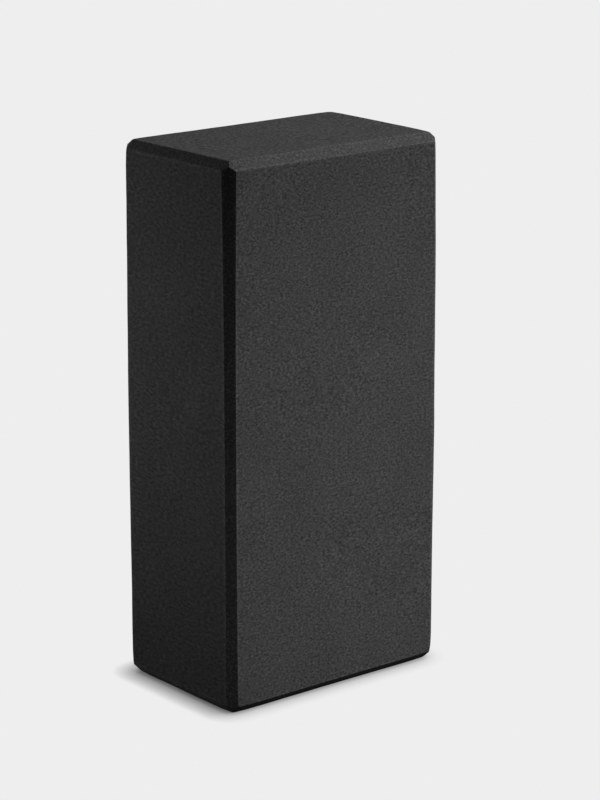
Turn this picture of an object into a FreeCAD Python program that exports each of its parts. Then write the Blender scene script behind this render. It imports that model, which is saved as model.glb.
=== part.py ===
# Firm foam yoga brick standing on one end.
# Three foam plies lie face to face with a thin film of adhesive in each of the two joints.
# The bonded stack is sawn to size, and all twelve edges are trimmed at 45 degrees.
# X runs across the broad face, Y through the thickness with the front at -Y, and Z up the length.
# The origin is the middle of the bottom end. Sizes are in millimetres.
import os

import FreeCAD
import Part

# Brick
brick_length = 225.0
brick_width = 110.0
edge_trim = 3.5

# Layers, named from the front face to the rear face
ply_thickness = 23.2
bond_thickness = 0.2
ply_names = ("front_ply", "core_ply", "rear_ply")
bond_names = ("front_bond", "rear_bond")

# The layers add up to the thickness of the brick
brick_thickness = len(ply_names) * ply_thickness + len(bond_names) * bond_thickness
front_face = -brick_thickness / 2


def trimmed_outline(across, up):
    """Corner points of a rectangle about zero with its four corners trimmed at 45 degrees."""
    side = across / 2
    end = up / 2
    return [
        (side - edge_trim, -end),
        (side, edge_trim - end),
        (side, end - edge_trim),
        (side - edge_trim, end),
        (edge_trim - side, end),
        (-side, end - edge_trim),
        (-side, edge_trim - end),
        (edge_trim - side, -end),
    ]


def prism(corners, run):
    """Solid swept from a flat outline along the vector run."""
    outline = Part.makePolygon(corners + corners[:1])
    return Part.Face(outline).extrude(run)


def seen_from_above():
    """Prism over the whole length with the four upright edges trimmed."""
    outline = trimmed_outline(brick_width, brick_thickness)
    corners = [FreeCAD.Vector(x, y, 0) for x, y in outline]
    return prism(corners, FreeCAD.Vector(0, 0, brick_length))


def seen_from_front():
    """Prism through the whole thickness with the four edges along Y trimmed."""
    outline = trimmed_outline(brick_width, brick_length)
    corners = [FreeCAD.Vector(x, front_face, z + brick_length / 2) for x, z in outline]
    return prism(corners, FreeCAD.Vector(0, brick_thickness, 0))


def seen_from_side():
    """Prism across the whole width with the four edges along X trimmed."""
    outline = trimmed_outline(brick_thickness, brick_length)
    corners = [FreeCAD.Vector(-brick_width / 2, y, z + brick_length / 2) for y, z in outline]
    return prism(corners, FreeCAD.Vector(brick_width, 0, 0))


def trimmed_brick():
    """The stack after sawing and trimming: what the three prisms have in common."""
    return seen_from_above().common(seen_from_front()).common(seen_from_side())


def layer(brick, front, thickness):
    """The slice of the brick that starts at y = front."""
    corner = FreeCAD.Vector(-brick_width / 2, front, 0)
    slab = Part.makeBox(brick_width, thickness, brick_length, corner)
    return brick.common(slab).Solids[0]


def foam_plies(brick):
    """One foam ply for each name, a bond film's thickness apart."""
    pitch = ply_thickness + bond_thickness
    return {
        name: layer(brick, front_face + count * pitch, ply_thickness)
        for count, name in enumerate(ply_names)
    }


def bond_films(brick):
    """One adhesive film behind each ply except the last."""
    pitch = ply_thickness + bond_thickness
    return {
        name: layer(brick, front_face + count * pitch + ply_thickness, bond_thickness)
        for count, name in enumerate(bond_names)
    }


brick = trimmed_brick()
os.makedirs("parts", exist_ok=True)
for name, solid in {**foam_plies(brick), **bond_films(brick)}.items():
    solid.exportStep(f"parts/{name}.step")
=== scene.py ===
# %% [markdown]
# # A firm foam yoga brick
# The imported brick is loaded first. It holds three foam plies and the two thin films of adhesive
# between them, all at their real size and place in metres.
# Its box is kept, and gives the size and middle of the brick.

# %% Load the imported brick
from itertools import product
from math import radians, sqrt

import bmesh
import bpy
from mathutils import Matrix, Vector


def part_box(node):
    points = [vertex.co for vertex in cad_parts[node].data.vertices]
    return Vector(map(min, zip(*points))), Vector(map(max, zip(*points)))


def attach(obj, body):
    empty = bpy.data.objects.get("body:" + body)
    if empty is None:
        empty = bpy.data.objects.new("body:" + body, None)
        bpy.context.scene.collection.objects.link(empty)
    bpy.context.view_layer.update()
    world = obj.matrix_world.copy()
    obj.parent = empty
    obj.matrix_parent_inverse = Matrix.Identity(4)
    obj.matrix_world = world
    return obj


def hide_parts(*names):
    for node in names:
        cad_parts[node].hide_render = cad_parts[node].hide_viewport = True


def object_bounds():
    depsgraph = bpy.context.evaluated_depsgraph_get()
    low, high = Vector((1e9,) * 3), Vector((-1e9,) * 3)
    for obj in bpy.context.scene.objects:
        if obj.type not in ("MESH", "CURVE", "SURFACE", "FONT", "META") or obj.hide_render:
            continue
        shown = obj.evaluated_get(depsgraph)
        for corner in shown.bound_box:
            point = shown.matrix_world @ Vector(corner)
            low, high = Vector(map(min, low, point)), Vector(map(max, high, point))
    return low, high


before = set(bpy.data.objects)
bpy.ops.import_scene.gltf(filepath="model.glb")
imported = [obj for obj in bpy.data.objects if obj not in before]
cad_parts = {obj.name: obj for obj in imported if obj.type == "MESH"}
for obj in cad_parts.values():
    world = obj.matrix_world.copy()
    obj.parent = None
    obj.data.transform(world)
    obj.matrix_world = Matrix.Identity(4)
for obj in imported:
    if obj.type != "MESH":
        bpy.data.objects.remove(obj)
cad_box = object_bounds()
brick_low, brick_high = cad_box
brick_size = brick_high - brick_low
brick_middle = (brick_low + brick_high) / 2
print("packed brick of", len(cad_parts), "layers:", [round(side, 4) for side in brick_size], "m")

# %% [markdown]
# ## The sawn blank
# Thick foam bricks are often sawn from a bonded stack of boards, and this one is built that way. So the
# whole brick is shaped first and sliced into its plies afterwards, which keeps its faces flush.
# The blank is a cube scaled to the box. Cuts along each axis give it a grid of small faces, because
# foam is never quite flat and the grid is what lets it waver later.
# Tools in edit mode act on what is selected, so a helper picks parts of the mesh by where they lie.

# %% Helpers that select by place
parallel = 0.99


def pick(piece, kind, test):
    """In edit mode, select the verts, edges or faces that pass the test, and nothing else."""
    bpy.ops.mesh.select_mode(type=kind[:-1].upper())
    bpy.ops.mesh.select_all(action="DESELECT")
    mesh = bmesh.from_edit_mesh(piece.data)
    chosen = [part for part in getattr(mesh, kind) if test(part)]
    for part in chosen:
        part.select_set(True)
    bmesh.update_edit_mesh(piece.data)
    return len(chosen)


def runs_along(edge, axis):
    """True if the edge is parallel to the axis numbered 0, 1 or 2."""
    along = (edge.verts[1].co - edge.verts[0].co).normalized()
    return abs(along[axis]) > parallel


# %% Add the blank and cut its grid
MM = 0.001
grid_step = 5 * MM

bpy.ops.object.select_all(action="DESELECT")
bpy.ops.mesh.primitive_cube_add(size=1, location=brick_middle, scale=brick_size)
blank = bpy.context.object
bpy.ops.object.transform_apply(location=True, rotation=False, scale=True)
bpy.ops.object.mode_set(mode="EDIT")
for axis in range(3):
    pick(blank, "edges", lambda edge: runs_along(edge, axis))
    bpy.ops.mesh.subdivide(number_cuts=round(brick_size[axis] / grid_step) - 1)
print("blank:", len(bmesh.from_edit_mesh(blank.data).faces), "faces")

# %% [markdown]
# ## The trimmed edges
# All twelve edges of the brick are trimmed at 45 degrees, and the trims run into each other in a
# mitre at every corner. A bevel with one segment cuts the trims, but leaves a small triangle at each
# corner. Poking that triangle outwards by the right height brings its three parts into the planes of
# the trims, which is exactly what a straight cutter leaves.

# %% Trim the edges
edge_trim = 3.5 * MM
touching = 0.01 * MM


def outer_planes(vert):
    """The sides of the blank that a vertex lies on, as (axis, low or high) pairs."""
    sides = set()
    for axis in range(3):
        for name, limit in (("low", brick_low), ("high", brick_high)):
            if abs(vert.co[axis] - limit[axis]) < touching:
                sides.add((axis, name))
    return sides


def on_a_sharp_edge(edge):
    """True if the edge lies where two sides of the blank meet."""
    return len(outer_planes(edge.verts[0]) & outer_planes(edge.verts[1])) == 2


count = pick(blank, "edges", on_a_sharp_edge)
bpy.ops.mesh.bevel(offset=edge_trim, offset_type="OFFSET", segments=1, affect="EDGES")
print("trimmed", count, "short edges along the twelve long ones")

# %% Mitre the corners
# Along each axis the triangle's middle lies two thirds of a trim in from the corner, and the point
# where the planes of the trims meet lies half a trim in.
mitre_height = edge_trim * sqrt(3) / 6
count = pick(blank, "faces", lambda face: len(face.verts) == 3)
bpy.ops.mesh.poke(offset=mitre_height)
print("mitred", count, "corners")

# %% [markdown]
# ## Trims that wander
# The long upright edges yield to the cutter, so their trims aren't equally wide all the way: they are
# widest at the top and narrowest a little below the middle. A bevel can only cut an even width, so the
# points on the two lines of each trim are moved afterwards, row by row. They are scaled towards the
# middle along one axis only, which slides them within the face they lie in and keeps that face flat.

# %% Let the upright trims wander
top_drift = 0.55 * MM
middle_drift = -0.35 * MM
height_digits = 5


def drift(height):
    """How far a line of an upright trim slides inwards: a parabola from the foot through both drifts."""
    share = height / brick_size.z
    return top_drift * share * (2 * share - 1) + middle_drift * 4 * share * (1 - share)


def on_upright_line(vert, axis):
    """True on the lines that the upright trims leave on the faces that run along this axis."""
    offset = vert.co - brick_middle
    inset = abs(offset[axis]) - brick_size[axis] / 2 + edge_trim
    depth = abs(offset[1 - axis]) - brick_size[1 - axis] / 2
    return abs(inset) < touching and abs(depth) < touching


for axis in (0, 1):
    verts = bmesh.from_edit_mesh(blank.data).verts
    heights = {round(vert.co.z, height_digits) for vert in verts if on_upright_line(vert, axis)}
    for height in sorted(heights):
        pick(blank, "verts", lambda vert: (
            on_upright_line(vert, axis) and abs(vert.co.z - height) < touching))
        slide = Vector((1, 1, 1))
        slide[axis] = 1 - drift(height) / (brick_size[axis] / 2 - edge_trim)
        bpy.ops.transform.resize(value=slide, center_override=brick_middle)
    print("slid", len(heights), "rows of points along axis", axis)

# %% [markdown]
# ## Blunt corners
# A corner of foam has little behind it, so packing and handling leave it a touch blunter than the
# cutter did. Each corner point is pushed inwards, and proportional editing draws the foam around it
# along, which keeps the lines of the trims.

# %% Blunt the corners
corner_push = 0.8 * MM
push_reach = 6 * MM

for signs in product((-1, 1), repeat=3):
    corner = brick_middle + Vector(signs) * brick_size / 2
    pick(blank, "verts", lambda vert: (vert.co - corner).length < edge_trim)
    bpy.ops.transform.translate(
        value=Vector(signs).normalized() * -corner_push, use_proportional_edit=True,
        proportional_edit_falloff="SMOOTH", proportional_size=push_reach)
bpy.ops.object.mode_set(mode="OBJECT")
print("blunted the corners by", round(corner_push / MM, 1), "mm")

# %% [markdown]
# ## Soft edges and a wavering surface
# Foam has no knife-sharp edge: it gives under the cutter and springs back with a small radius.
# A bevel modifier rounds every line where two planes meet. Two gentle displacements follow, one long
# and one short, since hot foam boards cool with a slight wave and a trimmed edge is never quite straight.
# The modifiers are applied, so that the slices below are cut from the finished form.

# %% Round the edges
edge_radius = 0.25 * MM


def only(piece):
    """Make one piece the only selected object and the active one."""
    bpy.ops.object.select_all(action="DESELECT")
    piece.select_set(True)
    bpy.context.view_layer.objects.active = piece


def apply_modifier(piece, kind, **settings):
    """Add a modifier with these settings and apply it."""
    only(piece)
    bpy.ops.object.modifier_add(type=kind)
    modifier = piece.modifiers[-1]
    for name, value in settings.items():
        setattr(modifier, name, value)
    bpy.ops.object.modifier_apply(modifier=modifier.name)


apply_modifier(
    blank, "BEVEL", width=edge_radius, segments=3, limit_method="ANGLE", angle_limit=radians(30))
print("rounded blank:", len(blank.data.polygons), "faces")

# %% Let the surface waver
for name, wave_length, wave_height in (("long", 55 * MM, 0.5 * MM), ("short", 14 * MM, 0.16 * MM)):
    wave = bpy.data.textures.new(f"foam_wave_{name}", type="CLOUDS")
    wave.noise_scale = wave_length
    apply_modifier(
        blank, "DISPLACE", texture=wave, texture_coords="LOCAL", strength=wave_height, mid_level=0.5)
    bpy.data.textures.remove(wave)
print("wavering blank:", [round(side, 5) for side in blank.dimensions], "m")

# %% [markdown]
# ## Plies and films
# The layers could be modelled one by one, but then the trims and waves wouldn't run on from one to the
# next. So each layer is a copy of the finished blank, cut at its own two planes with the bisect tool,
# which also closes the cut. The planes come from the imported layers, so the joints stay where they are.

# %% Slice the layers
def slice_layer(layer, ending):
    """Copy the blank and keep what lies between the layer's front and rear planes."""
    low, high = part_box(layer)
    only(blank)
    bpy.ops.object.duplicate()
    piece = bpy.context.object
    piece.name = f"{layer}_{ending}"
    piece.data.name = piece.name
    bpy.ops.object.mode_set(mode="EDIT")
    if low.y > brick_low.y + touching:
        bpy.ops.mesh.select_all(action="SELECT")
        bpy.ops.mesh.bisect(plane_co=low, plane_no=(0, 1, 0), use_fill=True, clear_inner=True)
    if high.y < brick_high.y - touching:
        bpy.ops.mesh.select_all(action="SELECT")
        bpy.ops.mesh.bisect(plane_co=high, plane_no=(0, 1, 0), use_fill=True, clear_outer=True)
    bpy.ops.object.mode_set(mode="OBJECT")
    bpy.ops.object.shade_smooth_by_angle(angle=radians(40))
    apply_modifier(piece, "WEIGHTED_NORMAL", keep_sharp=True)
    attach(piece, "root")
    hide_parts(layer)
    return piece


plies = [slice_layer(layer, "foam") for layer in ("front_ply", "core_ply", "rear_ply")]
films = [slice_layer(layer, "film") for layer in ("front_bond", "rear_bond")]
only(blank)
bpy.ops.object.delete()
for piece in plies + films:
    print(piece.name, len(piece.data.polygons), "faces")

# %% [markdown]
# ## Colours and nodes
# Colours are written as they look on screen and turned to linear light by one function.
# One helper adds a node, sets its properties and fills or links its inputs.

# %% Colour and node helpers
def linear(colour):
    """Linear red, green, blue and alpha of a colour such as #808080, by the sRGB curve."""
    shares = [int(colour[start:start + 2], 16) / 255 for start in (1, 3, 5)]
    light = [share / 12.92 if share <= 0.04045 else ((share + 0.055) / 1.055) ** 2.4 for share in shares]
    return (*light, 1)


def node(tree, kind, inputs, **settings):
    """Add a node, set its properties, and give each named input a value or a link."""
    made = tree.nodes.new(kind)
    for name, value in settings.items():
        setattr(made, name, value)
    for name, value in inputs.items():
        if isinstance(value, bpy.types.NodeSocket):
            tree.links.new(value, made.inputs[name])
        else:
            made.inputs[name].default_value = value
    return made


def empty_material(name):
    """A new material with an empty node tree, and that tree."""
    material = bpy.data.materials.new(name)
    material.use_nodes = True
    material.node_tree.nodes.clear()
    return material, material.node_tree


print("#808080 in linear light:", round(linear("#808080")[0], 3))

# %% [markdown]
# ## Painted highlight at the trims
# Every line where a trim meets a face is drawn paler in spots: a painted highlight along the edges.
# The highlight could be laid on as an image, but it is sharper when it is worked out from how far a
# point is from those lines. On a trimmed box that follows from its place alone: measured from the
# middle, such a line lies one trim short of the outside along one of the axes.

# %% Distance to the highlighted lines
inner_half = brick_size / 2 - Vector((edge_trim, edge_trim, edge_trim))


def line_distance(tree, place):
    """Distance in metres from a point on the surface to the nearest line where a trim begins."""
    gap = place
    for operation, amount in (
            ("SUBTRACT", brick_middle), ("ABSOLUTE", None), ("SUBTRACT", inner_half), ("ABSOLUTE", None)):
        inputs = {0: gap} if amount is None else {0: gap, 1: amount}
        gap = node(tree, "ShaderNodeVectorMath", inputs, operation=operation).outputs["Vector"]
    parts = node(tree, "ShaderNodeSeparateXYZ", {"Vector": gap}).outputs
    nearer = node(tree, "ShaderNodeMath", {
        0: parts["X"], 1: parts["Y"]}, operation="MINIMUM").outputs["Value"]
    return node(tree, "ShaderNodeMath", {
        0: nearer, 1: parts["Z"]}, operation="MINIMUM").outputs["Value"]


print("highlighted lines lie", [round(half / MM, 1) for half in inner_half], "mm from the middle")

# %% [markdown]
# ## Foam finishes
# The brick is black closed-cell EVA foam. Cutting opens the cells, so each face is a field of tiny
# dark cups with pale rims, and the cups gather in loose clusters where the foam blew unevenly.
# Real cells are about 0.3 mm wide, too fine for the picture, so each finish draws them a few times
# coarser. Noise gives the cells, a second noise gives the clusters, and a third one lets the shade
# drift from patch to patch. The same cells drive the colour, the roughness and the relief.

# %% Grain and shade of the foam
cell_width = 0.3 * MM
cluster_width = 5 * MM
patch_width = 25 * MM
noise_middle = 0.5
# How much paler the foam is drawn right at the trim lines: a painted edge highlight.
edge_highlight_strength = 0.6


def cell_grain(tree, place, coarseness, stretch):
    """The cells, their clusters, and the rims of the cells, which stand out more inside a cluster."""
    drawn = node(tree, "ShaderNodeMapping", {"Vector": place, "Scale": stretch}).outputs["Vector"]
    cells = node(tree, "ShaderNodeTexNoise", {
        "Vector": drawn, "Scale": 1 / (coarseness * cell_width),
        "Detail": 1, "Roughness": 0.65}).outputs["Fac"]
    clusters = node(tree, "ShaderNodeTexNoise", {
        "Vector": place, "Scale": 1 / cluster_width, "Detail": 1}).outputs["Fac"]
    contrast = node(tree, "ShaderNodeMapRange", {
        "Value": clusters, "From Min": 0.35, "From Max": 0.65,
        "To Min": 1.6, "To Max": 2.8}).outputs["Result"]
    centred = node(tree, "ShaderNodeMath", {
        0: cells, 1: noise_middle}, operation="SUBTRACT").outputs["Value"]
    rims = node(tree, "ShaderNodeMath", {
        0: centred, 1: contrast, 2: noise_middle},
        operation="MULTIPLY_ADD", use_clamp=True).outputs["Value"]
    return cells, clusters, rims


def tone_and_edge_highlight(tree, place, clusters, edge_highlight_width):
    """Brightness drifting from patch to patch, plus a painted highlight in spots at the trim lines."""
    patches = node(tree, "ShaderNodeTexNoise", {
        "Vector": place, "Scale": 1 / patch_width, "Detail": 2}).outputs["Fac"]
    shade = node(tree, "ShaderNodeMapRange", {
        "Value": patches, "From Min": 0.3, "From Max": 0.7,
        "To Min": 0.94, "To Max": 1.06}).outputs["Result"]
    # Paler towards the trim lines: a painted edge highlight, spotted by the clusters.
    edge_highlight = node(tree, "ShaderNodeMapRange", {
        "Value": line_distance(tree, place), "From Max": edge_highlight_width,
        "To Min": edge_highlight_strength, "To Max": 0}).outputs["Result"]
    return node(tree, "ShaderNodeMath", {
        0: edge_highlight, 1: clusters, 2: shade}, operation="MULTIPLY_ADD").outputs["Value"]


print("cells of", round(cell_width / MM, 1), "mm in clusters of", round(cluster_width / MM), "mm")

# %% Foam material
def foam(name, dark, light, rarity, coarseness, stretch, relief, edge_highlight_width):
    """Cut foam with dark cups and pale rims. Rarity thins the rims out, coarseness enlarges the cells,
    and a stretch below 1 draws them out along that axis."""
    material, tree = empty_material(name)
    place = node(tree, "ShaderNodeTexCoord", {}).outputs["Object"]
    cells, clusters, rims = cell_grain(tree, place, coarseness, stretch)
    lift = node(tree, "ShaderNodeMath", {0: rims, 1: rarity}, operation="POWER").outputs["Value"]
    speckle = node(tree, "ShaderNodeMix", {
        "Factor": lift, "A": linear(dark), "B": linear(light)}, data_type="RGBA").outputs["Result"]
    # This shade holds the drift from patch to patch and the painted edge highlight.
    shade = tone_and_edge_highlight(tree, place, clusters, edge_highlight_width)
    colour = node(tree, "ShaderNodeVectorMath", {
        0: speckle, "Scale": shade}, operation="SCALE").outputs["Vector"]
    roughness = node(tree, "ShaderNodeMapRange", {
        "Value": rims, "To Min": 1.0, "To Max": 0.88}).outputs["Result"]
    bump = node(tree, "ShaderNodeBump", {"Height": cells, "Distance": relief}).outputs["Normal"]
    # EVA has an IOR of about 1.49, and its open cells swallow nearly all of the gloss.
    surface = node(tree, "ShaderNodeBsdfPrincipled", {
        "Base Color": colour, "Roughness": roughness, "Normal": bump,
        "IOR": 1.49, "Specular IOR Level": 0.03})
    node(tree, "ShaderNodeOutputMaterial", {"Surface": surface.outputs["BSDF"]})
    return material


# %% The five finishes
# The last setting of each finish is how wide its painted edge highlight runs from the lines.
# A broad face is split with a band knife: wide open cells, so the liveliest speckle, drawn out a little
# across the face.
split_foam = foam(
    "eva_foam_split", dark="#2d2d2d", light="#4c4c4c", rarity=1.2, coarseness=3,
    stretch=(0.7, 1, 1.05), relief=0.05 * MM, edge_highlight_width=1 * MM)
# A side is sawn along its length: calmer, with the cells smeared across the side.
sawn_side_foam = foam(
    "eva_foam_sawn_side", dark="#323232", light="#464646", rarity=1.2, coarseness=3.6,
    stretch=(1, 0.5, 1), relief=0.04 * MM, edge_highlight_width=1.8 * MM)
# An end is sawn from side to side: short streaks along the cut.
sawn_end_foam = foam(
    "eva_foam_sawn_end", dark="#2b2b2b", light="#494949", rarity=1.2, coarseness=3.5,
    stretch=(0.7, 1, 1), relief=0.04 * MM, edge_highlight_width=1 * MM)
# A trim is milled by a fast cutter: as lively as a broad face, but with no direction to it.
milled_foam = foam(
    "eva_foam_milled", dark="#333333", light="#4e4e4e", rarity=1.8, coarseness=3,
    stretch=(1, 1, 1), relief=0.04 * MM, edge_highlight_width=0.4 * MM)
# A film of adhesive shows only its sawn edge and takes up the black of the foam on both sides.
sawn_adhesive = foam(
    "contact_adhesive_sawn", dark="#313131", light="#474747", rarity=1.2, coarseness=3.6,
    stretch=(1, 0.5, 1), relief=0.01 * MM, edge_highlight_width=1.8 * MM)
print("finishes:", [material.name for material in (
    split_foam, sawn_side_foam, sawn_end_foam, milled_foam, sawn_adhesive)])

# %% [markdown]
# ## Which finish goes where
# The direction a face looks in tells how it was cut: split faces look along Y, sawn sides along X and
# sawn ends along Z. All that looks in between is a milled trim or the rounded line beside it.

# %% Dress the faces
looks_along = 0.985


def cut_kind(normal):
    """The number of the finish for a face that looks along this normal."""
    across, through, up = (abs(part) for part in normal)
    if through > looks_along:
        return 0
    if across > looks_along:
        return 1
    if up > looks_along:
        return 2
    return 3


def dress(piece, kind, material):
    """Give a material to the faces of one kind."""
    piece.data.materials.append(material)
    only(piece)
    bpy.ops.object.mode_set(mode="EDIT")
    count = pick(piece, "faces", lambda face: cut_kind(face.normal) == kind)
    piece.active_material_index = len(piece.data.materials) - 1
    bpy.ops.object.material_slot_assign()
    bpy.ops.object.mode_set(mode="OBJECT")
    return count


finishes = (split_foam, sawn_side_foam, sawn_end_foam, milled_foam)
for ply in plies:
    counts = [dress(ply, kind, material) for kind, material in enumerate(finishes)]
    print(ply.name, "faces of each finish:", counts)
for film in films:
    film.data.materials.append(sawn_adhesive)
    print(film.name, "finish:", sawn_adhesive.name)

# %% [markdown]
# ## Floor and backdrop
# The floor is one pale sheet that fills the picture. What the camera sees of it is an even pale grey
# with a soft contact shadow, taken from how much of the space just above the floor the brick closes off.
# That space leans towards the key light, so the shadow is deeper on the far side of the brick.
# All other light meets a plain dull floor, so that the floor sends only a little of it back up.
# The world behind the floor shows the same pale grey and gives the brick no more than a faint fill.

# %% What the camera sees
backdrop_grey = "#eeeeee"


def seen_directly(tree):
    """1 for rays from the camera, mirrors and glass, and 0 for the light that lands on the brick."""
    path = node(tree, "ShaderNodeLightPath", {}).outputs
    seen = node(tree, "ShaderNodeMath", {
        0: path["Is Camera Ray"], 1: path["Is Glossy Ray"]}, operation="MAXIMUM").outputs["Value"]
    return node(tree, "ShaderNodeMath", {
        0: seen, 1: path["Is Transmission Ray"]}, operation="MAXIMUM").outputs["Value"]


print("backdrop:", backdrop_grey)

# %% Floor
floor_size = 14
dull_grey = "#383838"
shadow_reach = 10 * MM
shadow_lean = (0.55, -0.47, 1)

bpy.ops.object.select_all(action="DESELECT")
bpy.ops.mesh.primitive_plane_add(size=floor_size)
floor = bpy.context.object
floor.name = "studio_floor"
floor_paint, tree = empty_material("studio_floor_paint")
lean = node(tree, "ShaderNodeVectorMath", {0: shadow_lean}, operation="NORMALIZE").outputs["Vector"]
shadow = node(tree, "ShaderNodeAmbientOcclusion", {
    "Distance": shadow_reach, "Normal": lean}, samples=16).outputs["AO"]
pale = node(tree, "ShaderNodeEmission", {
    "Color": linear(backdrop_grey), "Strength": shadow}).outputs["Emission"]
dull = node(tree, "ShaderNodeBsdfDiffuse", {"Color": linear(dull_grey)}).outputs["BSDF"]
both = node(tree, "ShaderNodeMixShader", {0: seen_directly(tree), 1: dull, 2: pale})
node(tree, "ShaderNodeOutputMaterial", {"Surface": both.outputs["Shader"]})
floor.data.materials.append(floor_paint)
print("floor:", floor_size, "m wide")

# %% World
fill_strength = 0.05

world = bpy.data.worlds.new("studio")
bpy.context.scene.world = world
world.use_nodes = True
tree = world.node_tree
tree.nodes.clear()
pale = node(tree, "ShaderNodeBackground", {"Color": linear(backdrop_grey)}).outputs["Background"]
dim = node(tree, "ShaderNodeBackground", {
    "Color": linear("#ffffff"), "Strength": fill_strength}).outputs["Background"]
both = node(tree, "ShaderNodeMixShader", {0: seen_directly(tree), 1: dim, 2: pale})
node(tree, "ShaderNodeOutputWorld", {"Surface": both.outputs["Shader"]})
print("fill from the world:", fill_strength)

# %% [markdown]
# ## Studio light
# A key softbox, high on the right, lights the broad face and the end. It skims the broad face, which
# brings out the grain, and passes by the trimmed edge next to the camera, which stays almost black.
# A softbox with a grid stands low behind the brick on the left and lifts the narrow side. A small card,
# also with a grid, looks down on the foot of the broad face and evens it out, but can't reach the trim
# under it, which stays a dark line. One more softbox lights the back for anyone who walks round.

# %% Softboxes
def softbox(name, place, aim, size, watts, spread=180):
    """A square soft lamp, turned towards its aim and hidden from the camera. A grid narrows its spread,
    which is in degrees."""
    turn = (Vector(place) - Vector(aim)).to_track_quat("Z", "Y").to_euler()
    bpy.ops.object.light_add(type="AREA", location=place, rotation=turn)
    lamp = bpy.context.object
    lamp.name = name
    lamp.data.size = size
    lamp.data.energy = watts
    lamp.data.spread = radians(spread)
    lamp.visible_camera = False
    return lamp


lamps = [
    softbox("key_softbox", (0.83, -0.484, 0.861), brick_middle, size=0.386, watts=22.6),
    softbox(
        "side_softbox", (-0.417, 0.415, 0.17), (-0.055, 0, 0.137), size=0.14, watts=0.136, spread=45.8),
    softbox(
        "foot_card", (0.061, -0.368, 0.288), (0.004, -0.035, 0), size=0.06, watts=0.113, spread=68.3),
    softbox("rear_softbox", (0, 0.60, 0.14), (0, 0, 0.14), size=0.16, watts=2.5),
]
print("lamps:", [lamp.name for lamp in lamps])

# %% [markdown]
# ## Camera
# The camera stands about 1.2 m away behind a long lens, a little above the brick, and sees its broad
# front and its left side. Place and aim were found by matching the edges of the brick to the picture.

# %% Camera
camera_place = Vector((-0.7143, -0.8813, 0.4239))
camera_aim = Vector((0.0055, -0.0045, 0.1150))
camera_lens = 128.9

camera_turn = (camera_place - camera_aim).to_track_quat("Z", "Y").to_euler()
bpy.ops.object.camera_add(location=camera_place, rotation=camera_turn)
camera = bpy.context.object
camera.data.lens = camera_lens
bpy.context.scene.camera = camera
bpy.context.scene.view_settings.view_transform = "Standard"
print("camera distance:", round((camera_place - camera_aim).length, 3), "m")
